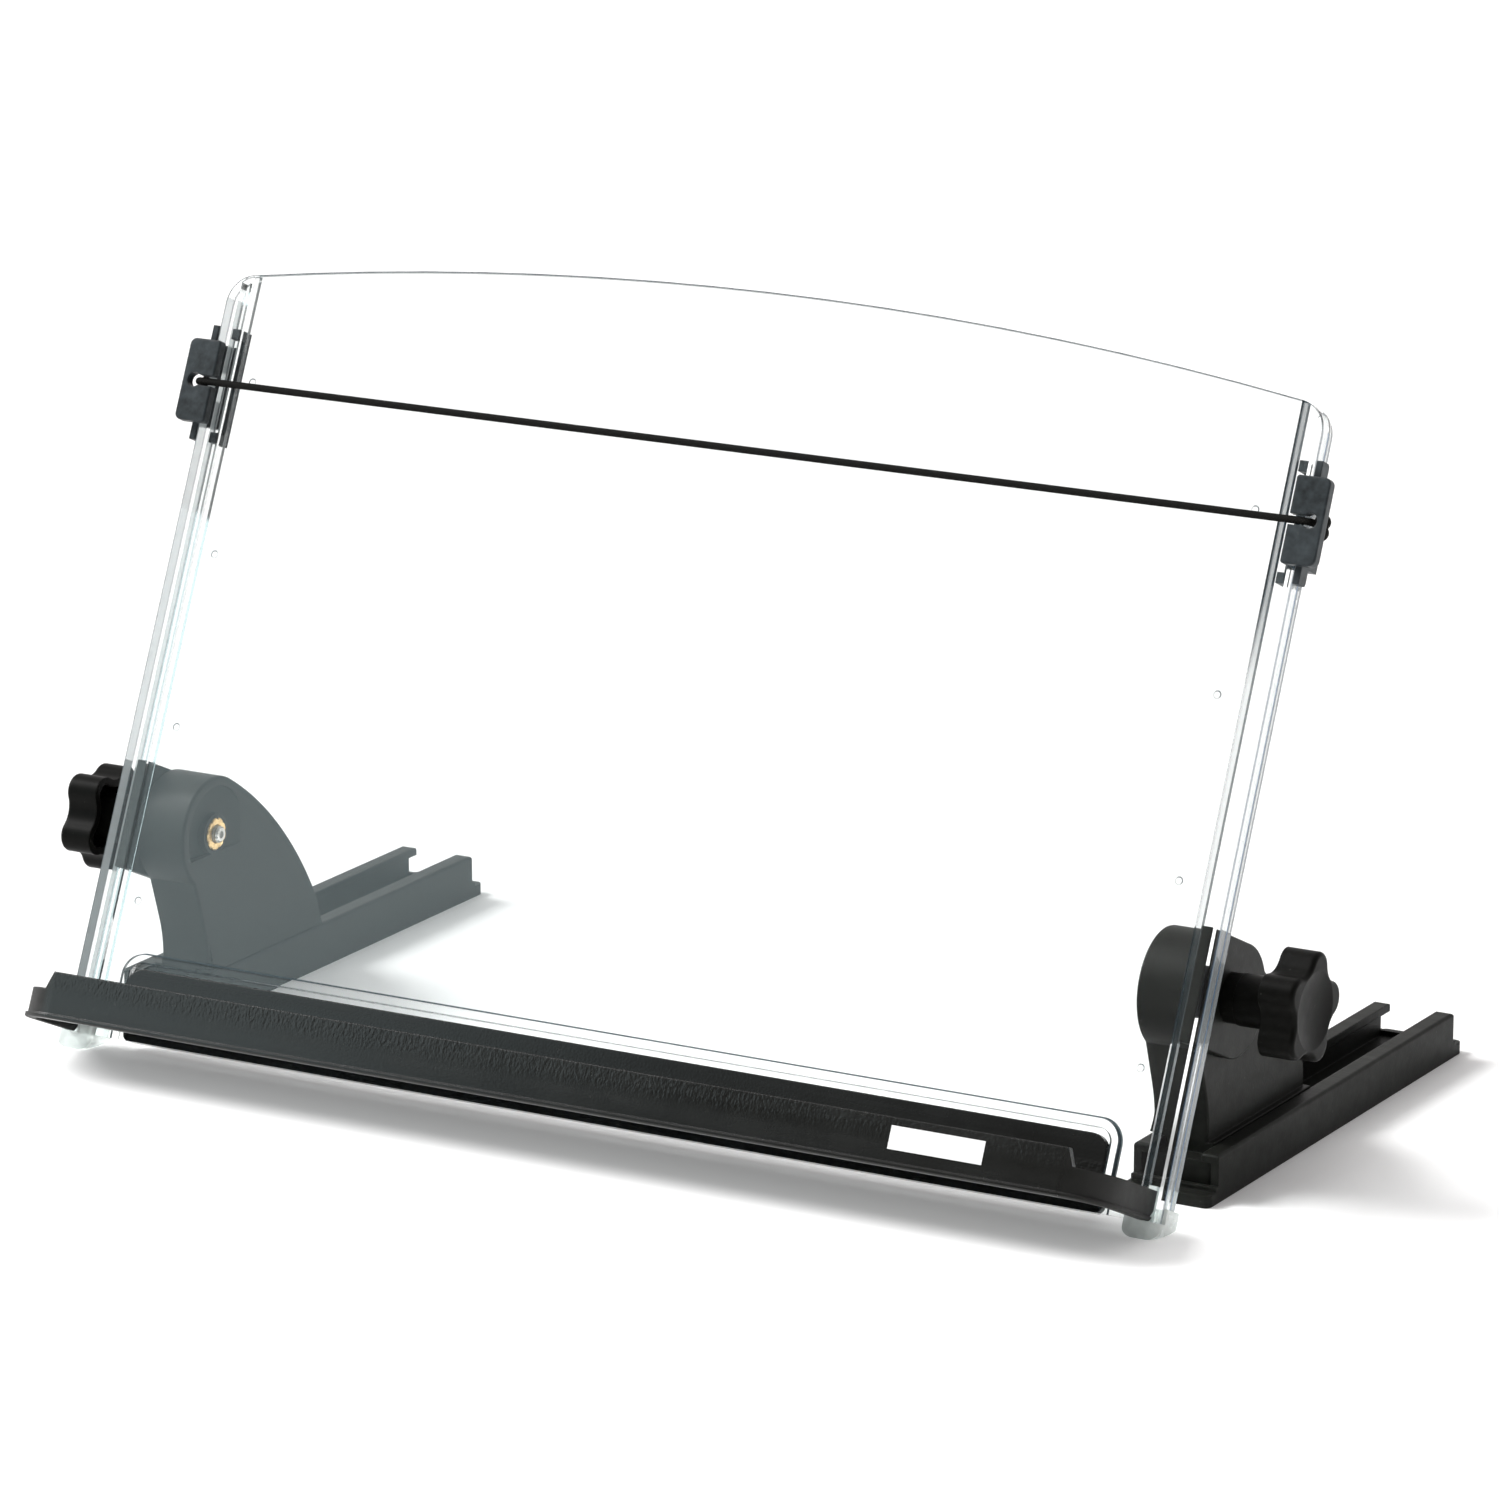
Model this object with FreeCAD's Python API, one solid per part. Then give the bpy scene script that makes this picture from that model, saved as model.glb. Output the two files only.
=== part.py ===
import FreeCAD, Part
import math
import os

from FreeCAD import Placement, Rotation, Vector

# Copy holder with a line guide: a clear board that leans between two supports,
# a black trough for the pages, and a tight cord that marks the line being read.
# Frame: X to the right, Y to the back, +Z up, millimetres. The origin is on the
# desk, in the middle of the whole width and depth. The pieces are drawn with y
# counted from the board's lower front edge, and moved to the origin at the end.
# The board's own frame has x across, n backwards out of the board, u up the board.

# ---- the board
lean = 24.6                # board's angle from the vertical, degrees
board_lift = 3.7           # lower front edge above the desk
board_width = 355.6
board_crown = 240.4        # height up the board at its middle
crown_radius = 1144.0
corner_radius = 9.0
plate = 2.6
flange_depth = 7.0         # outer flange, front face to back edge
flange_wall = 3.0
flange_hook = 0.8          # inward lip along the flange's back edge
hook_height = 1.1
channel_width = 3.6        # between inner rib and outer flange
rib_wall = 2.0
rib_depth = 4.2
rim_top = 25.4             # clear bead round the trough's back plate
rim_width = 2.5
rim_height = 2.0
rim_radius = 6.5
back_gap = 0.2             # rim to the trough's back plate
rim_lift = 0.3             # rim above the trough's floor

# ---- the page trough
ledge_inset = 2.8          # trough's end inboard of the board's edge
ledge_depth = 34.2
ledge_wall = 2.4
ledge_floor = 2.4
ledge_under = 4.4          # floor's underside, up from the foot of the trough's skirt
ledge_corner = 13.0
ledge_end_height = 8.6
lip_height = 13.6
lip_inset = 12.8           # foot of the high part of the lip, from the board's edge
lip_slant = 2.0
end_chamfer = 3.0          # end walls' lower back corners
ledge_round = 0.5          # bead's lower edge
bead_width = 0.7           # small rim along the trough's foot
bead_height = 1.3
back_inset = 18.9          # back plate's end, from the board's edge
back_height = 21.1
back_plate = 2.5
back_corner = 5.0
label_width = 28.6
label_height = 6.5
label_inset = 53.4         # label's middle, from the board's edge
label_up = 8.05
label_thick = 0.15
backing_thick = 2.4        # bar behind the board's lower edge
backing_height = 8.0
backing_corner = 2.2

# ---- soft feet on the board's lower corners
foot_width = 12.0
foot_inset = 4.8           # foot's middle, from the board's edge
foot_front = 2.0           # foot in front of the board
foot_depth = 9.0           # foot's back, from the board's front face
foot_wrap = 4.2            # walls up round the board's corner
foot_gap = 0.2             # walls to the board and to the trough's end
foot_round = 4.0           # lower edges at the sides
foot_corner = 1.6          # upright edges
plug_height = 10.0
plug_gap = 0.2

# ---- the pivot, in the board's frame
pivot_back = 21.6
pivot_up = 65.6

# ---- clamp shoes
shoe_height = 32.0
shoe_round_back = 28.3     # where the rounded back of the shoe is centred
shoe_gap = 0.3             # shoe to the plate and the hook
shoe_side_gap = 0.15       # shoe to the rib and the flange
shoe_edge = 0.5

# ---- supports
head_radius = 17.05
support_thick = 16.2
support_gap = 0.35         # head to shoe
support_edge = 0.8
toe_back = 41.6            # lower front corner of the fin
waist_back = 40.1          # where the straight front edge turns down to the toe
waist_up = 28.0
flare_height = 10.5        # inner face's foot runs out to the rail in a hollow curve
flare_reach = 1.6
flare_inset = 1.2          # flare's ends, in from the fin's edges
front_neck_angle = 229.0   # where the front edge meets the head, degrees
rear_start_angle = 59.5    # where the rear edge leaves the head, tangent to it
rear_end_back = 101.8
rear_end_up = 20.0
rear_step = 1.4            # fin's lower back corner, from the foot's back end
recess_radius = 14.2
recess_depth = 3.0         # at the front; the floor runs out to the back
recess_floor = 5.6         # flat side of the recess below the pivot
recess_back = 13.0
boss_radius = 6.1
neck_thick = 14.2
slide_front = 35.6
slide_length = 67.8
slide_corner = 2.0
slide_clear = 0.4          # neck and foot to the rail, each side
slide_play = 0.25          # foot to the rail's floor
slide_top_play = 0.4

# ---- rails
rail_inset = 12.0          # rail's middle, from the board's edge
rail_width = 25.4
rail_height = 13.4
rail_floor = 3.4
rail_wall = 2.4
rail_lip = 2.4
rail_front = 27.6
rail_length = 164.7
tab_front = 5.9
tab_rear = 6.5
tab_corner = 2.2
rail_edge = 1.0
stop_height = 1.4
stop_length = 1.6

# ---- knobs, bolts and inserts
bolt_diameter = 5.0
bolt_clear = 0.15          # bolt in shoe, spacer and support, on the radius
thread_clear = 0.08        # bolt in its insert, on the radius
bolt_proud = 0.9           # bolt's end past the insert
bolt_in_knob = 16.0
insert_diameter = 9.6
insert_length = 8.2
insert_proud = 0.5
spacer_length = 4.0
spacer_radius = 7.0
spacer_gap = 0.05
hub_radius = 7.3
hub_length = 10.9
knob_thick = 10.5
knob_tip = 16.1
knob_valley = 12.0
lobe_count = 5
lobe_radius = 5.0
knob_wall = 2.2
knob_face = 3.2
dish_radius = 11.0
dish_depth = 1.6
knob_edge = 1.3
right_knob_angle = 73.5
left_knob_angle = 54.0

# ---- line guide
guide_up = 194.3           # middle of the sliders, up the board
guide_height = 24.7
guide_inner = 3.4          # front plate inboard of the board's edge
guide_outer = 7.0          # front plate outboard of the board's edge
guide_plate = 3.0
guide_gap = 0.3            # slider to flange
guide_corner = 2.0
guide_inner_corner = 0.8
guide_web = 1.9
guide_back = 2.2
guide_web_back = 4.2       # web's back edge above and below the plates
web_corner = 1.2
guide_edge = 0.5
guide_back_height = 34.4
guide_reach = 5.8          # back plate inboard of the board's edge
guide_tab = 3.1
tab_foot = 2.6             # hooked end of each tab, along n
cord_diameter = 2.1
cord_hole = 4.4
cord_notch = 3.2
cord_out = 3.0             # hole's middle outboard of the board's edge
cord_bend = 2.1
cord_tail = 3.4            # cord behind the bend, up to the knot
knot_radius = 2.3
knot_bite = 1.6            # knot's flat, in front of its middle
knot_spread = 1.5          # the knot's two turns, each side of its middle
knot_room = 4.6            # half the gap in the web that the knot lies in

overlap = 1.0              # how far one shape reaches into the next where they join or cut

# ---- worked out from the values above
half = board_width / 2
flange_in = half - flange_wall
rib_out = flange_in - channel_width
rib_in = rib_out - rib_wall
shoe_out = flange_in - shoe_side_gap
shoe_in = rib_out + shoe_side_gap
shoe_front = plate + shoe_gap
shoe_round = shoe_height / 2
support_out = shoe_in - support_gap
support_inner = support_out - support_thick
fin_bottom = rail_height + slide_top_play
ledge_top = ledge_under + ledge_floor
rail_middle = half - rail_inset
foot_middle = half - foot_inset
ledge_half = half - ledge_inset
lip_half = half - lip_inset
back_half = half - back_inset
lean_sin = math.sin(math.radians(lean))
lean_cos = math.cos(math.radians(lean))
pivot_y = pivot_back * lean_cos + pivot_up * lean_sin
pivot_z = board_lift + pivot_up * lean_cos - pivot_back * lean_sin
front_edge = -(ledge_depth + bead_width) * lean_cos
rear_edge = rail_front + rail_length
to_origin = Vector(0, -(front_edge + rear_edge) / 2, 0)
on_board = Placement(Vector(0, 0, board_lift), Rotation(Vector(1, 0, 0), -lean))


def box(x0, x1, y0, y1, z0, z1):
    return Part.makeBox(x1 - x0, y1 - y0, z1 - z0, Vector(x0, y0, z0))


def rod(radius, x0, x1, y=pivot_y, z=pivot_z):
    return Part.makeCylinder(radius, x1 - x0, Vector(x0, y, z), Vector(1, 0, 0))


def prism(points, along):
    face = Part.Face(Part.makePolygon(points + points[:1]))
    return face.extrude(along)


def arc_edge(centre, radius, start, end, place):
    middle = (start + end) / 2
    spots = []
    for angle in (start, middle, end):
        turn = math.radians(angle)
        spots.append(place(centre[0] + radius * math.cos(turn), centre[1] + radius * math.sin(turn)))
    return Part.Arc(spots[0], spots[1], spots[2]).toShape()


def tangent_arc(start, along, end):
    """Arc between two points of a plane across x that leaves the first one in the given direction."""
    chord = end - start
    across = Vector(0, -chord.z, chord.y)
    turn = math.atan2(along.dot(across), along.dot(chord))
    middle = (start + end) / 2 + across / 2 * math.tan(turn / 2)
    return Part.Arc(start, middle, end).toShape()


def rounded(a0, a1, b0, b1, radii, place):
    """Face of a rectangle with corner radii in the order low-low, high-low, high-high, low-high."""
    corners = [(a0, b0, 180), (a1, b0, 270), (a1, b1, 0), (a0, b1, 90)]
    turns = [(1, 1), (-1, 1), (-1, -1), (1, -1)]
    starts = []
    ends = []
    arcs = []
    for (a, b, angle), (da, db), radius in zip(corners, turns, radii):
        if radius > 0:
            edge = arc_edge((a + da * radius, b + db * radius), radius, angle, angle + 90, place)
            arcs.append(edge)
            starts.append(edge.valueAt(edge.FirstParameter))
            ends.append(edge.valueAt(edge.LastParameter))
        else:
            arcs.append(None)
            starts.append(place(a, b))
            ends.append(place(a, b))
    edges = []
    for i in range(4):
        if arcs[i]:
            edges.append(arcs[i])
        edges.append(Part.makeLine(ends[i], starts[(i + 1) % 4]))
    return Part.Face(Part.Wire(edges))


def up_board(n):
    return lambda x, u: Vector(x, n, u)


def flat(z):
    return lambda x, y: Vector(x, y, z)


def edges_at(shape, axis, place):
    """Edges that lie in the plane at that place along axis 0, 1 or 2."""
    found = []
    for edge in shape.Edges:
        bounds = edge.BoundBox
        low = (bounds.XMin, bounds.YMin, bounds.ZMin)[axis]
        high = (bounds.XMax, bounds.YMax, bounds.ZMax)[axis]
        if abs(low - place) < 0.01 and abs(high - place) < 0.01:
            found.append(edge)
    return found


def mirrored(shape):
    return shape.mirror(Vector(0, 0, 0), Vector(1, 0, 0))


def placed(shape):
    shape.Placement = on_board.multiply(shape.Placement)
    return shape


# ---- board

def board_outline(depth):
    crown_middle = board_crown - crown_radius
    side = half - corner_radius
    corner_up = crown_middle + math.sqrt((crown_radius - corner_radius) ** 2 - side ** 2)
    slope = math.degrees(math.atan2(corner_up - crown_middle, side))
    place = up_board(0)
    right_corner = arc_edge((side, corner_up), corner_radius, 0, slope, place)
    crown = arc_edge((0, crown_middle), crown_radius, slope, 180 - slope, place)
    left_corner = arc_edge((-side, corner_up), corner_radius, 180 - slope, 180, place)
    edges = [
        Part.makeLine(Vector(-half, 0, 0), Vector(half, 0, 0)),
        Part.makeLine(Vector(half, 0, 0), Vector(half, 0, corner_up)),
        right_corner,
        crown,
        left_corner,
        Part.makeLine(Vector(-half, 0, corner_up), Vector(-half, 0, 0)),
    ]
    return Part.Face(Part.Wire(edges)).extrude(Vector(0, depth, 0))


def make_board():
    body = board_outline(plate)
    walls = []
    for side in (-1, 1):
        spans = [
            (flange_in, half, 0, flange_depth),
            (flange_in - flange_hook, half, flange_depth - hook_height, flange_depth),
            (rib_in, rib_out, 0, rib_depth),
        ]
        for x0, x1, n0, n1 in spans:
            low, high = sorted((side * x0, side * x1))
            walls.append(box(low, high, n0, n1, 0, board_crown))
    walls = walls[0].fuse(walls[1:]).common(board_outline(flange_depth))
    outer = back_half + back_gap + rim_width
    inner = outer - rim_width
    low = ledge_top + rim_lift
    radii = (0, 0, rim_radius, rim_radius)
    bead = rounded(-outer, outer, low, rim_top, radii, up_board(-rim_height))
    inner_radius = rim_radius - rim_width
    radii = (0, 0, inner_radius, inner_radius)
    space = rounded(-inner, inner, low - overlap, rim_top - rim_width, radii, up_board(-rim_height))
    bead = bead.extrude(Vector(0, rim_height, 0)).cut(space.extrude(Vector(0, rim_height, 0)))
    return body.fuse([walls, bead]).removeSplitter()


# ---- page trough

def trough_plan(grow, bottom, height):
    wide = ledge_half + grow
    deep = ledge_depth + grow
    corner = ledge_corner + grow
    face = rounded(-wide, wide, -deep, 0, (corner, corner, 0, 0), flat(bottom))
    return face.extrude(Vector(0, 0, height))


def make_ledge():
    wide = ledge_half
    floor = trough_plan(0, ledge_under, ledge_floor)
    outside = trough_plan(0, 0, lip_height)
    opening = box(-wide + ledge_wall, wide - ledge_wall, -ledge_corner, 0, 0, lip_height)
    inside = trough_plan(-ledge_wall, 0, lip_height).fuse(opening)
    bead = trough_plan(bead_width, 0, bead_height)
    bead = bead.makeFillet(ledge_round, edges_at(bead, 2, 0)).cut(inside)
    walls = outside.cut(inside)
    high = lip_half - lip_slant
    shape = [
        (-wide, 0),
        (wide, 0),
        (wide, ledge_end_height),
        (lip_half, ledge_end_height),
        (high, lip_height),
        (-high, lip_height),
        (-lip_half, ledge_end_height),
        (-wide, ledge_end_height),
    ]
    view = prism([Vector(x, -ledge_depth, u) for x, u in shape], Vector(0, ledge_depth, 0))
    walls = walls.common(view)
    radii = (0, 0, back_corner, back_corner)
    back = rounded(-back_half, back_half, ledge_under, back_height, radii, up_board(-back_plate))
    back = back.extrude(Vector(0, back_plate, 0))
    trough = floor.fuse([bead, walls, back]).removeSplitter()
    corner = [Vector(0, 0, 0), Vector(0, -end_chamfer, 0), Vector(0, 0, end_chamfer)]
    for x in (-wide - ledge_wall, wide - ledge_wall):
        cut = prism(corner, Vector(2 * ledge_wall, 0, 0))
        cut.translate(Vector(x, 0, 0))
        trough = trough.cut(cut)
    return trough


def make_label():
    x0 = half - label_inset - label_width / 2
    u0 = label_up - label_height / 2
    front = -ledge_depth - label_thick
    return box(x0, x0 + label_width, front, -ledge_depth, u0, u0 + label_height)


def make_backing():
    radii = (backing_corner, backing_corner, 0, 0)
    bar = rounded(-back_half, back_half, 0, backing_height, radii, up_board(plate))
    return bar.extrude(Vector(0, backing_thick, 0))


# ---- feet

def make_foot():
    x0 = foot_middle - foot_width / 2
    x1 = foot_middle + foot_width / 2
    low_front = (-foot_front * lean_sin - board_lift) / lean_cos
    low_back = (foot_depth * lean_sin - board_lift) / lean_cos
    side = [
        (-foot_front, low_front),
        (foot_depth, low_back),
        (foot_depth, foot_wrap),
        (-foot_front, foot_wrap),
    ]
    body = prism([Vector(x0, n, u) for n, u in side], Vector(foot_width, 0, 0))
    radii = (foot_round, foot_round, 0, 0)
    face = rounded(x0, x1, low_front, foot_wrap, radii, up_board(-foot_front))
    body = body.common(face.extrude(Vector(0, foot_front + foot_depth, 0)))
    radii = (foot_corner, foot_corner, foot_corner, foot_corner)
    plan = rounded(x0, x1, -foot_front, foot_depth, radii, flat(low_front))
    body = body.common(plan.extrude(Vector(0, 0, foot_wrap - low_front)))
    trough_end = ledge_half - ledge_wall - foot_gap
    over = foot_wrap + overlap
    pocket = box(x0 - overlap, half + foot_gap, -foot_gap, flange_depth + foot_gap, 0, over)
    before = box(trough_end, x1 + overlap, -foot_front - overlap, foot_gap, 0, over)
    x_low = rib_out + plug_gap
    x_high = flange_in - flange_hook - plug_gap
    plug = box(x_low, x_high, plate + plug_gap, flange_depth - plug_gap, -overlap, plug_height)
    return body.cut([pocket, before]).fuse(plug).removeSplitter()


# ---- clamp shoe: a tongue in the channel, with a rounded back behind the board

def make_shoe():
    u0 = pivot_up - shoe_round
    u1 = pivot_up + shoe_round
    wide = Vector(shoe_out - shoe_in, 0, 0)
    low = Vector(shoe_in, shoe_front, u0)
    low_back = Vector(shoe_in, shoe_round_back, u0)
    rear = Vector(shoe_in, shoe_round_back + shoe_round, pivot_up)
    high_back = Vector(shoe_in, shoe_round_back, u1)
    high = Vector(shoe_in, shoe_front, u1)
    outline = Part.Wire([
        Part.makeLine(high, low),
        Part.makeLine(low, low_back),
        Part.Arc(low_back, rear, high_back).toShape(),
        Part.makeLine(high_back, high),
    ])
    body = Part.Face(outline).extrude(wide)
    body = body.makeFillet(shoe_edge, edges_at(body, 0, shoe_out))
    hook_front = flange_depth - hook_height - shoe_gap
    hook_side = flange_in - flange_hook - shoe_gap
    slot = box(hook_side, half, hook_front, flange_depth + shoe_gap, u0, u1)
    bolt_way = Part.makeCylinder(
        bolt_diameter / 2 + bolt_clear,
        wide.x,
        Vector(shoe_in, pivot_back, pivot_up),
        Vector(1, 0, 0),
    )
    return body.cut([slot, bolt_way])


# ---- support: fin, round head, neck and sliding foot

def fin_profile():
    def on_head(angle):
        turn = math.radians(angle)
        y = pivot_y + head_radius * math.cos(turn)
        z = pivot_z + head_radius * math.sin(turn)
        return Vector(support_inner, y, z)

    neck = on_head(front_neck_angle)
    start = on_head(rear_start_angle)
    off_head = Vector(0, start.z - pivot_z, pivot_y - start.y)
    end = Vector(support_inner, rear_end_back, rear_end_up)
    toe = Vector(support_inner, toe_back, fin_bottom)
    waist = Vector(support_inner, waist_back, waist_up)
    lower_rear = Vector(support_inner, slide_front + slide_length - rear_step, fin_bottom)
    over = on_head((front_neck_angle + rear_start_angle) / 2)
    edges = [
        tangent_arc(waist, waist - neck, toe),
        Part.makeLine(waist, neck),
        Part.Arc(neck, over, start).toShape(),
        tangent_arc(start, off_head, end),
        Part.makeLine(end, lower_rear),
        Part.makeLine(lower_rear, toe),
    ]
    return Part.Face(Part.Wire(edges))


def make_recess():
    back = pivot_y + recess_back
    front = pivot_y - recess_radius
    plan = [
        Vector(support_inner, front, 0),
        Vector(support_inner + recess_depth, front, 0),
        Vector(support_inner, back, 0),
    ]
    wedge = prism(plan, Vector(0, 0, recess_floor + recess_radius))
    wedge.translate(Vector(0, 0, pivot_z - recess_floor))
    round_part = rod(recess_radius, support_inner, support_inner + recess_depth)
    boss = rod(boss_radius, support_inner, support_inner + recess_depth)
    return round_part.common(wedge).cut(boss)


def make_flare():
    top = Vector(support_inner, 0, fin_bottom + flare_height)
    low = Vector(support_inner - flare_reach, 0, fin_bottom)
    radius = (flare_height ** 2 + flare_reach ** 2) / (2 * flare_reach)
    half_turn = math.asin(flare_height / radius) / 2
    drop = radius * math.sin(half_turn)
    step = radius * (1 - math.cos(half_turn))
    middle = Vector(support_inner - step, 0, top.z - drop)
    low_back = Vector(support_inner + overlap, 0, fin_bottom)
    top_back = Vector(support_inner + overlap, 0, top.z)
    outline = Part.Wire([
        Part.Arc(top, middle, low).toShape(),
        Part.makeLine(low, low_back),
        Part.makeLine(low_back, top_back),
        Part.makeLine(top_back, top),
    ])
    rear = slide_front + slide_length
    flare = Part.Face(outline).extrude(Vector(0, rear, 0))
    for shift in (-flare_inset, flare_inset):
        side = fin_profile().extrude(Vector(flare_reach + overlap, 0, 0))
        side.translate(Vector(-flare_reach, shift, 0))
        flare = flare.common(side)
    return flare


def make_support():
    fin = fin_profile().extrude(Vector(support_thick, 0, 0))
    rims = edges_at(fin, 0, support_inner) + edges_at(fin, 0, support_out)
    rims = [edge for edge in rims if edge.BoundBox.ZMax > fin_bottom + support_edge]
    fin = fin.makeFillet(support_edge, rims)
    neck_out = rail_middle + neck_thick / 2
    neck_in = rail_middle - neck_thick / 2
    foot_half = rail_width / 2 - rail_wall - slide_clear
    foot_low = rail_floor + slide_play
    foot_high = rail_height - rail_lip - slide_top_play
    rear = slide_front + slide_length
    neck = box(neck_in, neck_out, toe_back, rear - rear_step, foot_high, fin_bottom)
    foot = rounded(
        rail_middle - foot_half,
        rail_middle + foot_half,
        slide_front,
        rear,
        (slide_corner, slide_corner, slide_corner, slide_corner),
        flat(foot_low),
    ).extrude(Vector(0, 0, foot_high - foot_low))
    support = fin.fuse([make_flare(), neck, foot])
    socket = rod(insert_diameter / 2, support_inner, support_inner + insert_length)
    bolt_way = rod(bolt_diameter / 2 + bolt_clear, support_inner, support_out)
    return support.cut([make_recess(), socket, bolt_way]).removeSplitter()


def make_insert():
    x0 = support_inner - insert_proud
    x1 = support_inner + insert_length
    return rod(insert_diameter / 2, x0, x1).cut(rod(bolt_diameter / 2 + thread_clear, x0, x1))


# ---- rail

def make_rail():
    low = rail_middle - rail_width / 2
    high = rail_middle + rail_width / 2
    rear = rail_front + rail_length
    corners = (tab_corner, tab_corner, tab_corner, tab_corner)
    floor = rounded(low, high, rail_front, rear, corners, flat(0))
    floor = floor.extrude(Vector(0, 0, rail_floor))
    y0 = rail_front + tab_front
    y1 = rear - tab_rear
    slot_half = neck_thick / 2 + slide_clear
    walls = box(low, high, y0, y1, 0, rail_height)
    walls = walls.makeFillet(rail_edge, edges_at(walls, 2, rail_height))
    inside = box(low + rail_wall, high - rail_wall, y0, y1, rail_floor, rail_height - rail_lip)
    slot = box(rail_middle - slot_half, rail_middle + slot_half, y0, y1, rail_floor, rail_height)
    walls = walls.cut([inside, slot])
    top = rail_floor + stop_height
    front_stop = box(low, high, y0 - stop_length, y0, 0, top)
    rear_stop = box(low, high, y1, y1 + stop_length, 0, top)
    return floor.fuse([walls, front_stop, rear_stop]).removeSplitter()


# ---- knob, spacer and bolt

def star_face(x, grow):
    reach = knob_tip - lobe_radius
    step = math.pi / lobe_count
    swing = math.cos(step)
    top = reach ** 2 + knob_valley ** 2 - 2 * reach * knob_valley * swing - lobe_radius ** 2
    bottom = 2 * (lobe_radius - knob_valley + reach * swing)
    hollow_radius = top / bottom
    hollow_reach = knob_valley + hollow_radius
    lobe = lobe_radius + grow
    hollow = hollow_radius - grow

    def spot(radius, angle):
        return Vector(x, pivot_y + radius * math.cos(angle), pivot_z + radius * math.sin(angle))

    edges = []
    for i in range(lobe_count):
        angle = 2 * step * i
        lobe_middle = spot(reach, angle)
        before = spot(hollow_reach, angle - step)
        after = spot(hollow_reach, angle + step)
        later = spot(reach, angle + 2 * step)
        share = lobe / (lobe + hollow)
        start = lobe_middle + (before - lobe_middle) * share
        end = lobe_middle + (after - lobe_middle) * share
        edges.append(Part.Arc(start, spot(reach + lobe, angle), end).toShape())
        join = later + (after - later) * share
        edges.append(Part.Arc(end, spot(hollow_reach - hollow, angle + step), join).toShape())
    return Part.Face(Part.Wire(edges))


def make_knob(angle):
    hub_start = shoe_out + spacer_gap + spacer_length
    head_start = hub_start + hub_length
    head_end = head_start + knob_thick
    head = star_face(head_start, 0).extrude(Vector(knob_thick, 0, 0))
    rim = [e for e in head.Edges if abs(e.CenterOfMass.x - head_end) < 0.01]
    head = head.makeFillet(knob_edge, rim)
    hollow = star_face(head_start, -knob_wall).extrude(Vector(knob_thick - knob_face, 0, 0))
    hollow = hollow.cut(rod(hub_radius, head_start, head_end))
    ball = (dish_radius ** 2 + dish_depth ** 2) / (2 * dish_depth)
    dish = Part.makeSphere(ball, Vector(head_end + ball - dish_depth, pivot_y, pivot_z))
    hub = rod(hub_radius, hub_start, head_start + overlap)
    bore = rod(bolt_diameter / 2, hub_start, shoe_out + bolt_in_knob + spacer_gap)
    knob = head.cut([hollow, dish]).fuse(hub).cut(bore).removeSplitter()
    knob.rotate(Vector(0, pivot_y, pivot_z), Vector(1, 0, 0), angle)
    return knob


def make_spacer():
    x0 = shoe_out + spacer_gap
    x1 = x0 + spacer_length - spacer_gap
    return rod(spacer_radius, x0, x1).cut(rod(bolt_diameter / 2 + bolt_clear, x0, x1))


def make_bolt():
    x0 = support_inner - insert_proud - bolt_proud
    return rod(bolt_diameter / 2, x0, shoe_out + bolt_in_knob + spacer_gap)


# ---- line guide

def make_slider():
    low = guide_up - guide_height / 2
    high = guide_up + guide_height / 2
    x0 = half - guide_inner
    x1 = half + guide_outer
    hole_x = half + cord_out
    n0 = -guide_gap - guide_plate
    radii = (guide_inner_corner, guide_corner, guide_corner, guide_inner_corner)
    front = rounded(x0, x1, low, high, radii, up_board(n0)).extrude(Vector(0, guide_plate, 0))
    front = front.makeFillet(guide_edge, edges_at(front, 1, n0))
    hole = Part.makeCylinder(cord_hole / 2, guide_plate, Vector(hole_x, n0, guide_up), Vector(0, 1, 0))
    notch_half = cord_notch / 2
    notch = box(x0, hole_x, n0, -guide_gap, guide_up - notch_half, guide_up + notch_half)
    front = front.cut([hole, notch])
    web_in = half + guide_gap
    web_out = web_in + guide_web
    back_x = half - guide_reach
    stem_x = flange_in - flange_hook - guide_gap
    foot_x = flange_in - guide_gap
    tab_n = plate + guide_gap
    back_n = flange_depth + guide_gap
    back_end = back_n + guide_back
    reach = guide_back_height / 2
    bottom = guide_up - reach
    top = guide_up + reach
    radii = (0, web_corner, web_corner, 0)
    web = rounded(-guide_gap, guide_web_back, bottom, top, radii, lambda n, u: Vector(web_in, n, u))
    web = web.extrude(Vector(guide_web, 0, 0))
    wall = box(web_in, web_out, -guide_gap, back_end, low, high)
    room = box(web_in, x1, -guide_gap, back_end, guide_up - knot_room, guide_up + knot_room)
    back = box(back_x, web_out, back_n, back_end, low, high)
    fingers = box(back_x, stem_x, back_n, back_end, bottom, top)
    pieces = [web.fuse([wall, back]).cut(room), fingers]
    for side in (-1, 1):
        u0, u1 = sorted((guide_up + side * reach, guide_up + side * (reach - guide_tab)))
        pieces.append(box(back_x, stem_x, tab_n, back_n, u0, u1))
        pieces.append(box(back_x, foot_x, tab_n, tab_n + tab_foot, u0, u1))
    return front.fuse(pieces).removeSplitter()


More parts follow.
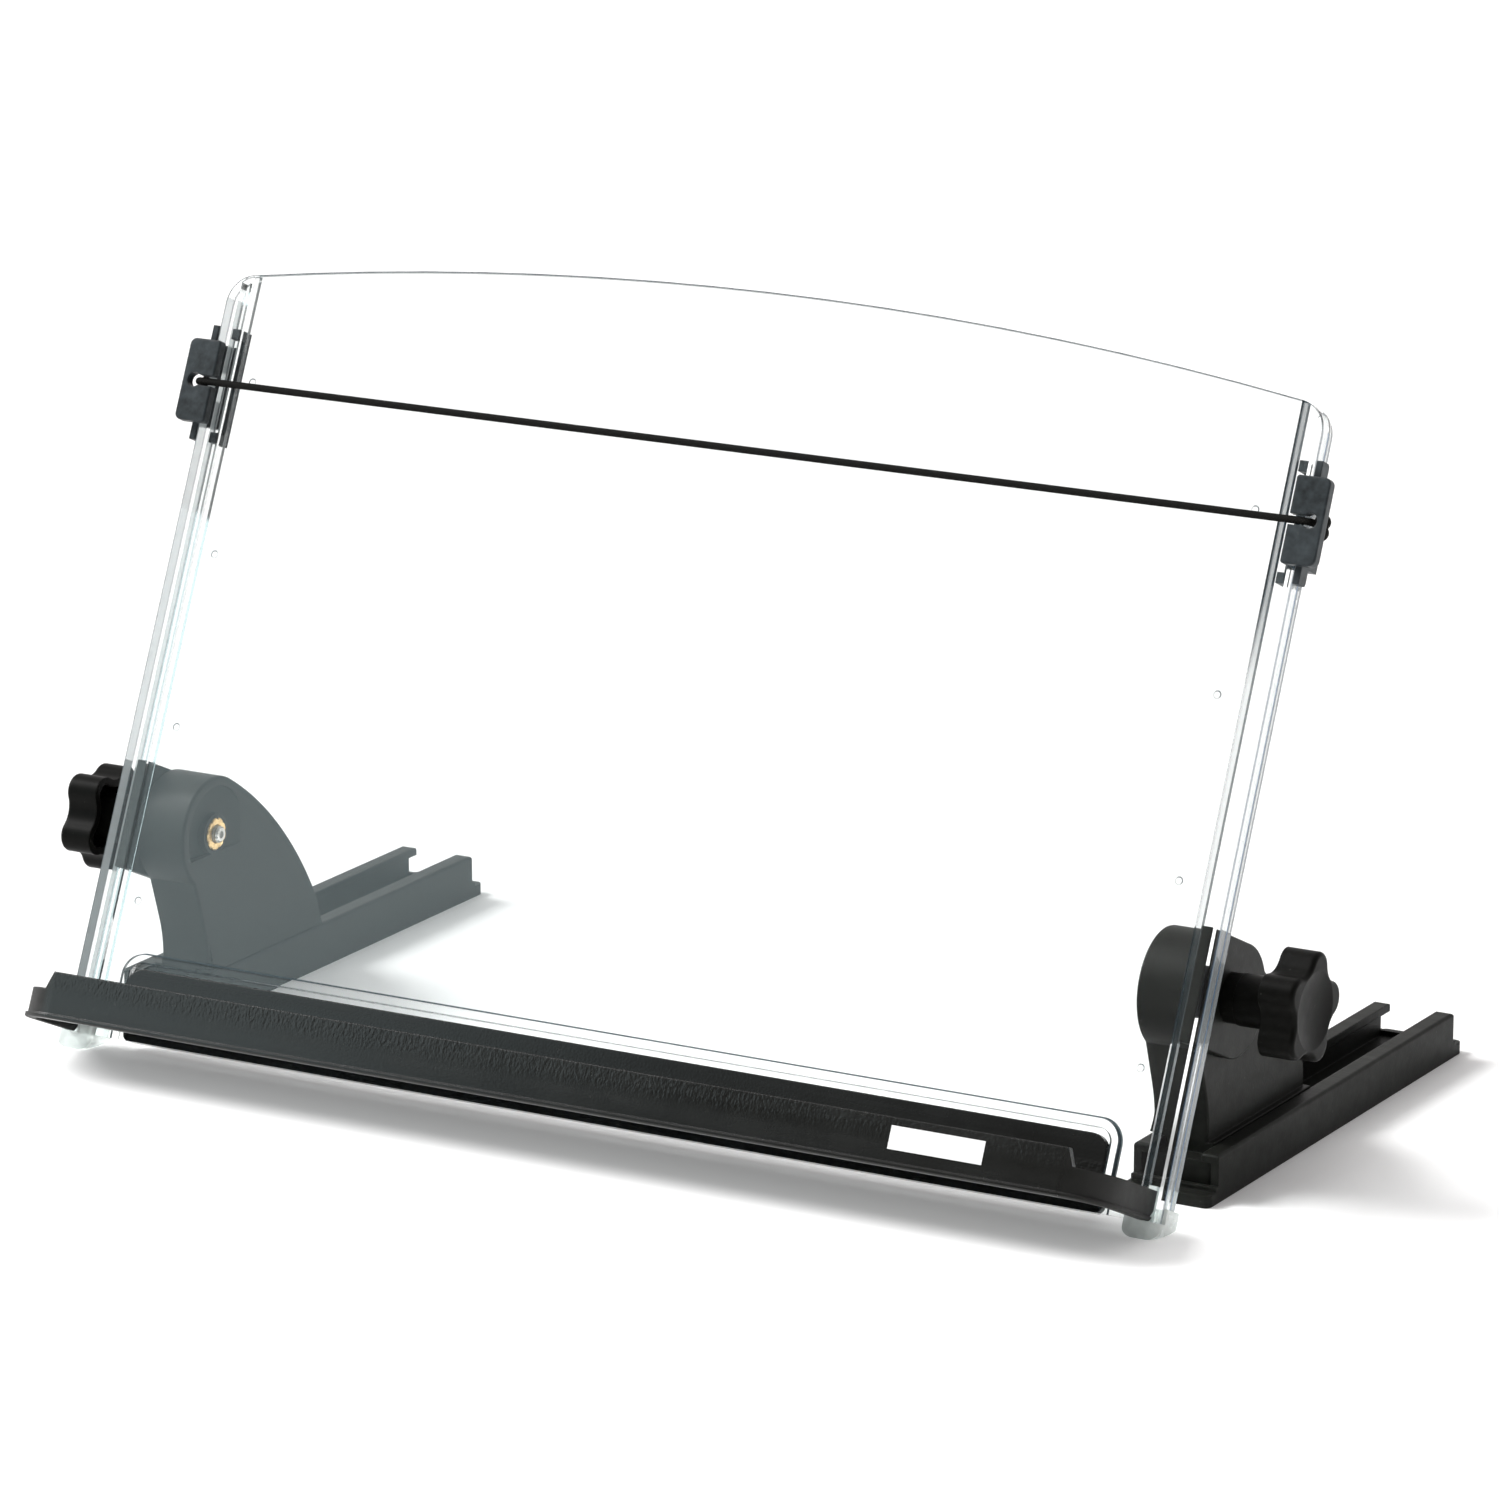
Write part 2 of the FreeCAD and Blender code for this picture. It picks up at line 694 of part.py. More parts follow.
def make_cord():
    n = -guide_gap - guide_plate / 2
    reach = half + cord_out
    turn = math.sqrt(0.5) * cord_bend
    edges = []
    tail = n + cord_bend + cord_tail
    left = [
        Vector(-reach, tail, guide_up),
        Vector(-reach, n + cord_bend, guide_up),
        Vector(-reach + cord_bend - turn, n + cord_bend - turn, guide_up),
        Vector(-reach + cord_bend, n, guide_up),
    ]
    right = [Vector(-p.x, p.y, p.z) for p in reversed(left)]
    edges.append(Part.makeLine(left[0], left[1]))
    edges.append(Part.Arc(left[1], left[2], left[3]).toShape())
    edges.append(Part.makeLine(left[3], right[0]))
    edges.append(Part.Arc(right[0], right[1], right[2]).toShape())
    edges.append(Part.makeLine(right[2], right[3]))
    path = Part.Wire(edges)
    ring = Part.Wire(Part.makeCircle(cord_diameter / 2, left[0], Vector(0, 1, 0)))
    return path.makePipeShell([ring], True, False)


def make_knot():
    front = -guide_gap - guide_plate / 2 + cord_bend + cord_tail
    n = front + knot_bite
    x = half + cord_out
    turns = []
    for side in (-1, 1):
        middle = Vector(x, n, guide_up + side * knot_spread)
        turns.append(Part.makeSphere(knot_radius, middle))
    body = turns[0].fuse(turns[1])
    reach = 2 * knot_radius
    below = guide_up - 2 * reach
    before = box(x - reach, x + reach, front - reach, front, below, guide_up + 2 * reach)
    return body.cut(before)


# ---- the whole part

def build():
    nodes = {
        "board": placed(make_board()),
        "document_ledge": placed(make_ledge()),
        "blank_label": placed(make_label()),
        "ledge_backing": placed(make_backing()),
        "line_cord": placed(make_cord()),
    }
    pairs = {
        "foot": (make_foot, True),
        "clamp_shoe": (make_shoe, True),
        "support": (make_support, False),
        "support_insert": (make_insert, False),
        "rail": (make_rail, False),
        "knob_spacer": (make_spacer, False),
        "knob_bolt": (make_bolt, False),
        "slider": (make_slider, True),
        "cord_knot": (make_knot, True),
    }
    for name, (make, leaning) in pairs.items():
        for side in ("left", "right"):
            shape = make()
            if side == "left":
                shape = mirrored(shape)
            nodes[side + "_" + name] = placed(shape) if leaning else shape
    nodes["right_knob"] = make_knob(right_knob_angle)
    nodes["left_knob"] = mirrored(make_knob(left_knob_angle))
    for shape in nodes.values():
        shape.translate(to_origin)
    return nodes


os.makedirs("parts", exist_ok=True)
for node, shape in build().items():
    shape.exportStep("parts/" + node + ".step")
    solids = len(shape.Solids)
    bounds = shape.BoundBox
    print(
        f"{node:22s} solids {solids} valid {shape.isValid()} volume {shape.Volume:10.1f}"
        f"  x {bounds.XMin:7.2f} {bounds.XMax:7.2f}  y {bounds.YMin:7.2f} {bounds.YMax:7.2f}"
        f"  z {bounds.ZMin:7.2f} {bounds.ZMax:7.2f}"
    )
print(f"pivot at y {pivot_y + to_origin.y:.3f} z {pivot_z:.3f}, moved by {to_origin.y:.3f}")
cord_run = 2 * (half + cord_out - cord_bend + cord_tail) + math.pi * cord_bend
print(f"cord bends {cord_bend} mm, section times length {cord_run * math.pi * cord_diameter ** 2 / 4:.1f}")
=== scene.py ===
import math

import bmesh
import bpy
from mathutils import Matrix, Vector


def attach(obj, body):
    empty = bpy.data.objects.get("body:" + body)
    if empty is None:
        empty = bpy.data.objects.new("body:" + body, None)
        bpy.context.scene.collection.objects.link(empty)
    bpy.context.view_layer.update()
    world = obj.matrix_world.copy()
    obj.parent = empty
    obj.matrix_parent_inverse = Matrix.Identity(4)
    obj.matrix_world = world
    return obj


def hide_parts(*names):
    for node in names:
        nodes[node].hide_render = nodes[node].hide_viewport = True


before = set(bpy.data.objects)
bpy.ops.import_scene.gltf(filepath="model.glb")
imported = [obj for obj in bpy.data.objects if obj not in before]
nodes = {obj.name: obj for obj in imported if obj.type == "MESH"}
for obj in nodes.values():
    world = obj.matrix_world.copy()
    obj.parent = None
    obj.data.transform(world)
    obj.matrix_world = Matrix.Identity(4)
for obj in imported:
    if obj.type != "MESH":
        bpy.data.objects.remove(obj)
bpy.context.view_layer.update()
view = bpy.context.scene

# The board's own frame: x across, n backwards out of the board, u up the board
boardFrame = {"lean": 24.6, "lift": 0.0037, "shift": -0.080284}
leanTurn = math.radians(boardFrame["lean"])
boardCorner = Vector((0, boardFrame["shift"], boardFrame["lift"]))
upBoard = Vector((0, math.sin(leanTurn), math.cos(leanTurn)))
outBack = Vector((0, math.cos(leanTurn), -math.sin(leanTurn)))


# Camera

cameraPlace = {
    "place": (1.0499, -1.830984, 0.6625),
    "forward": (-0.47841, 0.83858, -0.26060),
    "lens": 184.18,
}


def makeCamera(place, forward, lens):
    lookingFrom = bpy.data.cameras.new("camera")
    lookingFrom.sensor_width = 36.0
    lookingFrom.lens = lens
    lookingFrom.clip_start = 0.1
    lookingFrom.clip_end = 60.0
    camera = bpy.data.objects.new("camera", lookingFrom)
    view.collection.objects.link(camera)
    camera.location = place
    camera.rotation_mode = "QUATERNION"
    camera.rotation_quaternion = Vector(forward).to_track_quat("-Z", "Y")
    view.camera = camera


makeCamera(**cameraPlace)
print("camera placed")


# Shader maths

class Socket:  # an output of a node that can stand in a sum
    def __init__(self, shade, out):
        self.shade = shade
        self.out = out

    def math(self, operation, other, swapped=False):
        pair = (other, self) if swapped else (self, other)
        return self.shade.node("ShaderNodeMath", {"operation": operation}, {0: pair[0], 1: pair[1]})

    def __add__(self, other):
        return self.math("ADD", other)

    def __radd__(self, other):
        return self.math("ADD", other, True)

    def __sub__(self, other):
        return self.math("SUBTRACT", other)

    def __rsub__(self, other):
        return self.math("SUBTRACT", other, True)

    def __mul__(self, other):
        return self.math("MULTIPLY", other)

    def __rmul__(self, other):
        return self.math("MULTIPLY", other, True)

    def __truediv__(self, other):
        return self.math("DIVIDE", other)

    def __rtruediv__(self, other):
        return self.math("DIVIDE", other, True)

    def __pow__(self, other):
        return self.math("POWER", other)

    def __abs__(self):
        return self.math("ABSOLUTE", 0.0)

    def rounded(self):
        return self.math("ROUND", 0.0)

    def atLeast(self, other):
        return self.math("MAXIMUM", other)

    def kept(self, low, high):
        return self.atLeast(low).math("MINIMUM", high)


class Shade:  # the node tree of a material or of the world
    def __init__(self, owner):
        self.owner = owner
        owner.use_nodes = True
        self.tree = owner.node_tree
        self.tree.nodes.clear()

    def node(self, kind, settings=None, inputs=None, out=0):
        made = self.tree.nodes.new(kind)
        for key, value in (settings or {}).items():
            setattr(made, key, value)
        for key, value in (inputs or {}).items():
            self.feed(made.inputs[key], value)
        self.made = made
        return Socket(self, made.outputs[out]) if made.outputs else None

    def feed(self, target, value):
        if isinstance(value, Socket):
            self.tree.links.new(value.out, target)
        elif value is not None:
            target.default_value = value

    def mixColour(self, share, first, second):
        return self.node("ShaderNodeMix", {"data_type": "RGBA"}, {0: share, 6: first, 7: second}, 2)

    def place(self):
        return self.node("ShaderNodeTexCoord", out="Object")

    def facing(self):
        return self.node("ShaderNodeTexCoord", out="Normal")

    def parts(self, vector):
        self.node("ShaderNodeSeparateXYZ", {}, {0: vector})
        return [Socket(self, out) for out in self.made.outputs]

    def dot(self, vector, direction):
        return self.node("ShaderNodeVectorMath", {"operation": "DOT_PRODUCT"}, {0: vector, 1: direction}, 1)

    def fromCorner(self, place):
        return self.node("ShaderNodeVectorMath", {"operation": "SUBTRACT"}, {0: place, 1: boardCorner})

    def scaled(self, place, scale):
        return self.node("ShaderNodeMapping", {}, {"Vector": place, "Scale": scale})

    def noise(self, place, scale, detail=2.0, roughness=0.5):
        inputs = {"Vector": place, "Scale": scale, "Detail": detail, "Roughness": roughness}
        return self.node("ShaderNodeTexNoise", {}, inputs)

    def between(self, value, low, high, newLow=0.0, newHigh=1.0):
        inputs = {0: value, 1: low, 2: high, 3: newLow, 4: newHigh}
        return self.node("ShaderNodeMapRange", {"clamp": True}, inputs)

    def bump(self, height, distance, strength=1.0, normal=None):
        inputs = {"Height": height, "Distance": distance, "Strength": strength, "Normal": normal}
        return self.node("ShaderNodeBump", {}, inputs)

    def principled(self, inputs):
        return self.node("ShaderNodeBsdfPrincipled", {}, inputs)

    def mixed(self, share, first, second):
        return self.node("ShaderNodeMixShader", {}, {0: share, 1: first, 2: second})

    def output(self, surface):
        self.node("ShaderNodeOutputMaterial", {}, {"Surface": surface})
        return self.owner

    def finish(self, inputs):
        return self.output(self.principled(inputs))


def newShade(name):
    return Shade(bpy.data.materials.new(name))


# Finishes

mouldedBlack = {
    "ledge": {
        "dark": (0.0040, 0.0040, 0.0032, 1),
        "light": (0.0078, 0.0080, 0.0066, 1),
        "rough": 0.25,
        "shine": 0.52,
        "grain": 1500.0,
        "depth": 0.000022,
        "ridges": 0.00011,
        "dullEnds": 0.40,
    },
    "support": {
        "dark": (0.0056, 0.0062, 0.0050, 1),
        "light": (0.0112, 0.0122, 0.0100, 1),
        "rough": 0.46,
        "shine": 0.12,
        "grain": 1100.0,
        "depth": 0.000024,
    },
    "knob": {
        "dark": (0.0026, 0.0026, 0.0022, 1),
        "light": (0.0052, 0.0052, 0.0044, 1),
        "rough": 0.42,
        "shine": 0.06,
        "grain": 1700.0,
        "depth": 0.000016,
    },
    "slider": {
        "dark": (0.0120, 0.0150, 0.0165, 1),
        "light": (0.0480, 0.0590, 0.0650, 1),
        "rough": 0.42,
        "shine": 0.22,
        "grain": 1900.0,
        "depth": 0.000030,
    },
}

blackGrain = {  # what all the black mouldings share
    "cloudScale": 55.0,
    "mottleScale": 420.0,
    "mottleRange": (0.30, 0.70),
    "speckScale": 900.0,
    "speckRange": (0.83, 0.86),
    "speckColour": (0.10, 0.10, 0.09, 1),
    "speckShare": 0.15,
    "streakScale": (9.0, 260.0, 260.0),
    "streakShare": 0.16,
    "cloudShare": 0.10,
    "edgeRadius": 0.0006,
    "ends": (0.162, 0.172),        # the trough's end walls, across
    "bandFoot": (0.0065, 0.0100),  # grainy band on the lip, up the board
    "bandHead": (0.0138, 0.0128),
    "bandScale": (1150.0, 700.0, 700.0),
    "drawShare": 0.4,
}


def makeBlack(name, dark, light, rough, shine, grain, depth, ridges=0.0, dullEnds=0.0):
    common = blackGrain
    shade = newShade(name)
    place = shade.place()
    cloud = shade.noise(place, common["cloudScale"], 3.0)
    fine = shade.noise(place, grain, 1.0)
    specks = shade.between(shade.noise(place, common["speckScale"], 0.0), *common["speckRange"])
    patches = cloud * 0.5 + shade.noise(place, common["mottleScale"], 2.0) * 0.5
    colour = shade.mixColour(shade.between(patches, *common["mottleRange"]), dark, light)
    colour = shade.mixColour(specks * common["speckShare"], colour, common["speckColour"])
    streaks = shade.noise(shade.scaled(place, common["streakScale"]), 1.0, 2.0)
    roughness = rough + (streaks - 0.5) * common["streakShare"] + (cloud - 0.5) * common["cloudShare"]
    if dullEnds:
        across = abs(shade.parts(place)[0])
        roughness = roughness + shade.between(across, *common["ends"]) * dullEnds
    edges = shade.node("ShaderNodeBevel", {"samples": 4}, {"Radius": common["edgeRadius"]})
    normal = shade.bump(fine, depth, 1.0, edges)
    if ridges:  # a grainy band near the top of the lip, and a few long draw lines
        height = shade.dot(shade.fromCorner(place), upBoard)
        band = shade.between(height, *common["bandFoot"]) * shade.between(height, *common["bandHead"])
        grains = shade.noise(shade.scaled(place, common["bandScale"]), 1.0, 1.0)
        normal = shade.bump(grains * band, ridges, 1.0, normal)
        normal = shade.bump(streaks, ridges * common["drawShare"], 1.0, normal)
    return shade.finish({
        "Base Color": colour,
        "Roughness": roughness,
        "Specular IOR Level": shine,
        "Normal": normal,
    })


boardValues = {
    "tint": (0.972, 0.988, 0.985, 1),
    "rough": 0.012,
    "ior": 1.49,
    "ripple": 0.00001,
    # colours of the dark lines, which are painted refraction shade except the ejector marks, and of the
    # painted blue refraction line
    "edge": (0.040, 0.066, 0.080, 1),
    "blue": (0.085, 0.185, 0.330, 1),
    "half": 0.1778,
    "corner": 0.0090,
    "crown": 0.2404,
    "crownRadius": 1.144,
    "frontSkin": (0.0004, 0.0002),    # depth that counts as the front face
    "lineWidth": (0.00036, 0.00022),  # painted dark line of refraction shade along the outline
    "lineDepth": (0.0006, 0.0010),    # how far back it goes on the outer faces
    "lineCorner": (0.168, 0.170),
    "crest": (0.205, 0.222),          # from the sides' lines to the top's line
    "topLine": 0.60,
    "leftLine": 0.34,
    "rightLine": 0.50,
    "rimHalf": 0.1616,
    "rimTop": 0.0254,
    "rimCorner": 0.0065,
    "rimOutset": 0.0002,
    "rimWidth": 0.0025,
    "rimOuter": (0.00036, 0.00026),
    "rimInner": (0.00022, 0.00012),
    "rimOuterLine": 0.95,
    "rimInnerLine": 0.45,
    # painted shade on the inner rib, darker on the right side than on the left
    "ribInside": (0.1688, 0.1690),
    "ribOutside": (0.1716, 0.1714),
    "ribDepth": (0.0027, 0.0029),
    "ribCentre": 0.1702,
    "ribStripe": (0.0004, 0.0009),    # lighter along the rib's middle
    "ribStripeLine": 0.65,
    "ribFade": (0.148, 0.172),        # lighter below, up the board
    "ribHigh": 0.95,
    "ribLow": 0.30,
    "ribLeft": 0.12,
    "outerFace": (0.1776, 0.1777),
    "flangeFront": (0.0036, 0.0039),  # painted blue refraction line on the right outer face
    "flangeBack": (0.0047, 0.0044),
    "flangeLine": 0.75,
    "backEdge": (0.0064, 0.0066),     # painted dark line of refraction shade on the left outer face
    "backLine": 0.55,
    "paleRight": 0.35,                # share of the outer faces painted pale and glowing, a painted glint along the board's edges
    "paleLeft": 0.62,
    "paleColour": (0.30, 0.34, 0.35, 1),
    "paleLight": (0.86, 0.89, 0.90, 1),
    "paleGlow": 0.28,
    "markInset": 0.1627,              # ejector marks in a row on each side
    "markFirst": 0.0406,
    "markStep": 0.0518,
    "markRadius": 0.00105,
    "markWidth": (0.00024, 0.00008),
    "markGap": (-0.0004, 0.0006),
    "markLine": 0.9,
}


def insideRounded(shade, across, height, half, top, corner):
    # distance in from an outline with straight sides and two round upper corners
    beside = (across - (half - corner)).kept(0.0, 1.0)
    above = (height - top + corner).kept(0.0, 1.0)
    return corner - (beside * beside + above * above) ** 0.5


def makeBoardFinish(name, values):
    shade = newShade(name)
    place = shade.place()
    fromFoot = shade.fromCorner(place)
    depth = shade.dot(fromFoot, outBack)
    height = shade.dot(fromFoot, upBoard)
    signed = shade.parts(place)[0]
    across = abs(signed)
    right = shade.between(signed, -0.01, 0.01)
    side = shade.between(abs(shade.dot(shade.facing(), outBack)), 0.75, 0.45)
    front = shade.between(depth, *values["frontSkin"])
    outside = shade.between(across, *values["outerFace"]) * side

    # outline of the whole board: a painted dark line of refraction shade along its edges, stronger on the
    # right side than on the left
    kept = across.kept(0.0, values["half"] - values["corner"])
    crown = (values["crownRadius"] ** 2 - kept * kept) ** 0.5 - (values["crownRadius"] - values["crown"])
    inward = insideRounded(shade, across, height, values["half"], crown, values["corner"])
    upper = shade.between(height, *values["crest"])
    sides = shade.between(right, 0.0, 1.0, values["leftLine"], values["rightLine"])
    strength = upper * values["topLine"] + (1.0 - upper) * sides
    outline = shade.between(inward, *values["lineWidth"]) * strength
    behind = shade.between(depth, *values["lineDepth"]) * shade.between(across, *values["lineCorner"])
    outline = outline * (1.0 - side * behind)

    # raised rim round the trough's back plate, drawn as painted dark lines of refraction shade along its
    # outer and inner edges
    rimIn = insideRounded(shade, across, height, values["rimHalf"], values["rimTop"], values["rimCorner"])
    outer = shade.between(abs(rimIn + values["rimOutset"]), *values["rimOuter"]) * values["rimOuterLine"]
    inner = shade.between(abs(rimIn - values["rimWidth"]), *values["rimInner"]) * values["rimInnerLine"]
    rim = (outer + inner) * front

    # inner rib: painted shade of the light turned back inside it, a lighter stripe between two dark edges,
    # strong on the right side and faint on the left
    high = shade.between(height, *values["ribFade"], values["ribLow"], values["ribHigh"])
    rib = shade.between(across, *values["ribInside"]) * shade.between(across, *values["ribOutside"])
    rib = rib * shade.between(depth, *values["ribDepth"])
    offCentre = abs(across - values["ribCentre"])
    rib = rib * shade.between(offCentre, *values["ribStripe"], values["ribStripeLine"], 1.0)
    rib = rib * (right * high + (1.0 - right) * values["ribLeft"])

    # outer faces of the side flanges, with painted light and shade: a blue refraction line on the right, a
    # dark line on the left and a pale glow over both
    flange = shade.between(depth, *values["flangeFront"]) * shade.between(depth, *values["flangeBack"])
    flange = flange * outside * right * values["flangeLine"]
    backEdge = shade.between(depth, *values["backEdge"]) * outside * (1.0 - right) * values["backLine"]
    paintedGlowShare = outside * shade.between(right, 0.0, 1.0, values["paleLeft"], values["paleRight"])
    paintedGlowShare = paintedGlowShare * (1.0 - flange) * (1.0 - backEdge)

    # ejector marks, open at their lower left
    row = ((height - values["markFirst"]) / values["markStep"]).rounded().kept(0.0, 3.0)
    above = height - values["markFirst"] - row * values["markStep"]
    beside = across - values["markInset"]
    reach = (above * above + beside * beside) ** 0.5
    ring = shade.between(abs(reach - values["markRadius"]), *values["markWidth"])
    opened = shade.between(above + beside, *values["markGap"], 0.35, 1.0)
    ring = ring * opened * front * values["markLine"]

    slow = shade.noise(place, 22.0, 1.0)
    tint = values["tint"]
    glass = shade.principled({
        "Base Color": shade.mixColour(slow, tint, (tint[0] * 0.985, tint[1], tint[2] * 0.995, 1)),
        "Roughness": shade.between(slow, 0.3, 0.7, values["rough"], values["rough"] * 1.6),
        "IOR": values["ior"],
        "Transmission Weight": 1.0,
        "Normal": shade.bump(slow, values["ripple"]),
    })
    # painted refraction blue, on the right flange's line and on the outline's right side
    paintedRefractionBlue = (flange * 2.0 + outline * right * (1.0 - upper)).kept(0.0, 1.0)
    # dark shader for the painted lines of refraction shade, and for the ejector marks
    dark = shade.principled({
        "Base Color": shade.mixColour(paintedRefractionBlue, values["edge"], values["blue"]),
        "Roughness": 0.35,
    })
    # painted edge glint: pale faces that glow though no lamp is there
    paintedEdgeGlow = shade.principled({
        "Base Color": values["paleColour"],
        "Roughness": 0.5,
        "Emission Color": values["paleLight"],
        "Emission Strength": values["paleGlow"],
    })
    # lay the painted dark lines and the ejector marks over the glass, then the painted edge glow over that
    lined = shade.mixed((outline + rim + rib + flange + backEdge + ring).kept(0.0, 1.0), glass, dark)
    return shade.output(shade.mixed(paintedGlowShare, lined, paintedEdgeGlow))


bumperValues = {"tint": (0.93, 0.95, 0.94, 1), "milky": (0.86, 0.90, 0.88, 1), "rough": 0.20, "ior": 1.43}


def makeBumperFinish(name, tint, milky, rough, ior):
    shade = newShade(name)
    place = shade.place()
    cloud = shade.noise(place, 150.0, 2.0)
    clear = shade.principled({
        "Base Color": tint,
        "Roughness": shade.between(cloud, 0.35, 0.65, rough * 0.6, rough * 1.5),
        "IOR": ior,
        "Transmission Weight": 1.0,
        "Normal": shade.bump(cloud, 0.00005),
    })
    cloudy = shade.principled({"Base Color": milky, "Roughness": 0.3, "Normal": shade.bump(cloud, 0.00005)})
    return shade.output(shade.mixed(shade.between(cloud, 0.35, 0.7, 0.55, 0.85), clear, cloudy))


brassValues = {"bright": (0.88, 0.64, 0.31, 1), "dull": (0.62, 0.40, 0.17, 1), "rough": 0.28}


def makeBrass(name, bright, dull, rough):
    shade = newShade(name)
    place = shade.place()
    stain = shade.noise(place, 420.0, 4.0)
    rings = shade.noise(shade.scaled(place, (9000.0, 900.0, 900.0)), 1.0, 2.0)
    return shade.finish({
        "Base Color": shade.mixColour(shade.between(stain, 0.35, 0.7), bright, dull),
        "Metallic": 1.0,
        "Roughness": rough + (stain - 0.5) * 0.25,
        "Normal": shade.bump(rings, 0.00002),
    })


steelValues = {"bright": (0.70, 0.69, 0.66, 1), "dull": (0.34, 0.32, 0.29, 1), "rough": 0.30}


def makeSteel(name, bright, dull, rough):
    shade = newShade(name)
    place = shade.place()
    stain = shade.noise(place, 300.0, 4.0)
    turns = shade.node("ShaderNodeTexWave", {"bands_direction": "X"}, {"Vector": place, "Scale": 390.0})
    return shade.finish({
        "Base Color": shade.mixColour(shade.between(stain, 0.4, 0.75), bright, dull),
        "Metallic": 1.0,
        "Roughness": rough + (stain - 0.5) * 0.2,
        "Normal": shade.bump(turns, 0.00012),
    })


cordValues = {"dark": (0.0045, 0.0045, 0.0040, 1), "light": (0.016, 0.016, 0.0145, 1), "pitch": 640.0}


def makeCordFinish(name, dark, light, pitch):
    shade = newShade(name)
    place = shade.place()
    one = shade.node("ShaderNodeTexWave", {"bands_direction": "DIAGONAL"}, {"Vector": place, "Scale": pitch})
    two = shade.node(
        "ShaderNodeTexWave",
        {"bands_direction": "DIAGONAL"},
        {"Vector": shade.scaled(place, (-1.0, 1.0, 1.0)), "Scale": pitch},
    )
    weave = one * two
    fuzz = shade.noise(place, 2600.0, 2.0)
    return shade.finish({
        "Base Color": shade.mixColour(weave + fuzz * 0.2, dark, light),
        "Roughness": shade.between(fuzz, 0.3, 0.7, 0.65, 0.9),
        "Specular IOR Level": 0.1,
        "Normal": shade.bump(weave + fuzz * 0.3, 0.00012),
    })


labelValues = {"white": (0.97, 0.97, 0.965, 1), "edge": (0.93, 0.93, 0.92, 1)}


def makeLabelFinish(name, white, edge):
    shade = newShade(name)
    place = shade.place()
    mottled = shade.noise(place, 90.0, 2.0)
    return shade.finish({
        "Base Color": shade.mixColour(shade.between(mottled, 0.45, 0.8), white, edge),
        "Roughness": shade.between(mottled, 0.3, 0.7, 0.30, 0.42),
        "Normal": shade.bump(mottled, 0.00001),
    })


finishes = {
    "ledgeBlack": makeBlack("ledgeBlack", **mouldedBlack["ledge"]),
    "supportBlack": makeBlack("supportBlack", **mouldedBlack["support"]),
    "knobBlack": makeBlack("knobBlack", **mouldedBlack["knob"]),
    "sliderBlack": makeBlack("sliderBlack", **mouldedBlack["slider"]),
    "clearBoard": makeBoardFinish("clearBoard", boardValues),
    "clearBumper": makeBumperFinish("clearBumper", **bumperValues),
    "brass": makeBrass("brass", **brassValues),
    "steel": makeSteel("steel", **steelValues),
    "elasticCord": makeCordFinish("elasticCord", **cordValues),
    "labelFilm": makeLabelFinish("labelFilm", **labelValues),
}

finishOf = {
    "board": "clearBoard",
    "document_ledge": "ledgeBlack",
    "ledge_backing": "ledgeBlack",
    "blank_label": "labelFilm",
    "line_cord": "elasticCord",
    "foot": "clearBumper",
    "clamp_shoe": "supportBlack",
    "support": "supportBlack",
    "support_insert": "brass",
    "rail": "supportBlack",
    "knob_spacer": "knobBlack",
    "knob_bolt": "steel",
    "slider": "sliderBlack",
    "cord_knot": "elasticCord",
    "knob": "knobBlack",
}

for name, node in nodes.items():
    plain = name.replace("left_", "").replace("right_", "")
    node.data.materials.clear()
    node.data.materials.append(finishes[finishOf[plain]])

for name in ("board", "left_foot", "right_foot"):
    nodes[name].visible_shadow = False
print("finishes made")


# Brass inserts with a scalloped collar, and the ends of the bolts in them

insertValues = {
    "centre": (-0.033336, 0.054354),
    "face": 0.1543,
    "back": 0.1630,
    "outside": 0.0048,
    "bore": 0.00258,
    "scallops": 9,
    "scallopDepth": 0.00042,
    "collar": 0.0011,
    "chamfer": 0.0003,
}
boltEndValues = {"face": 0.1534, "radius": 0.0025, "tip": 0.0006, "slot": 0.00055, "slotDepth": 0.0007}


def ringMesh(name, stations, centre, around=144):
    # stations are (distance along x, radius at an angle); the tube closes on itself
    mesh = bpy.data.meshes.new(name)
    build = bmesh.new()
    loops = []
    for along, radius in stations:
        loop = []
        for i in range(around):
            turn = 2 * math.pi * i / around
            reach = radius(turn)
            loop.append(build.verts.new((
                along,
                centre[0] + reach * math.cos(turn),
                centre[1] + reach * math.sin(turn),
            )))
        loops.append(loop)
    for one, two in zip(loops, loops[1:] + loops[:1]):
        for i in range(around):
            j = (i + 1) % around
            build.faces.new((one[i], one[j], two[j], two[i]))
    bmesh.ops.recalc_face_normals(build, faces=build.faces)
    build.to_mesh(mesh)
    build.free()
    for face in mesh.polygons:
        face.use_smooth = True
    return mesh


def addPiece(name, mesh, finish, body):
    mesh.materials.append(finishes[finish])
    piece = bpy.data.objects.new(name, mesh)
    view.collection.objects.link(piece)
    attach(piece, body)
    return piece


def makeInserts(centre, face, back, outside, bore, scallops, scallopDepth, collar, chamfer):
    def scalloped(less):
        def radius(turn):
            dip = max(0.0, math.cos(scallops * turn)) ** 2
            return outside - less - scallopDepth * dip
        return radius

    def plain(value):
        return lambda turn: value

    for side, sign in (("left", -1), ("right", 1)):
        stations = [
            (sign * face, plain(bore + chamfer)),
            (sign * face, scalloped(chamfer)),
            (sign * (face + chamfer), scalloped(0.0)),
            (sign * (face + collar), scalloped(0.0)),
            (sign * (face + collar), plain(outside - scallopDepth)),
            (sign * back, plain(outside - scallopDepth)),
            (sign * back, plain(bore)),
            (sign * (face + chamfer), plain(bore)),
        ]
        mesh = ringMesh(side + "BrassInsert", stations, centre)
        mesh.set_sharp_from_angle(angle=math.radians(35))
        piece = addPiece(side + "BrassInsert", mesh, "brass", "supports")
        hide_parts(side + "_support_insert")


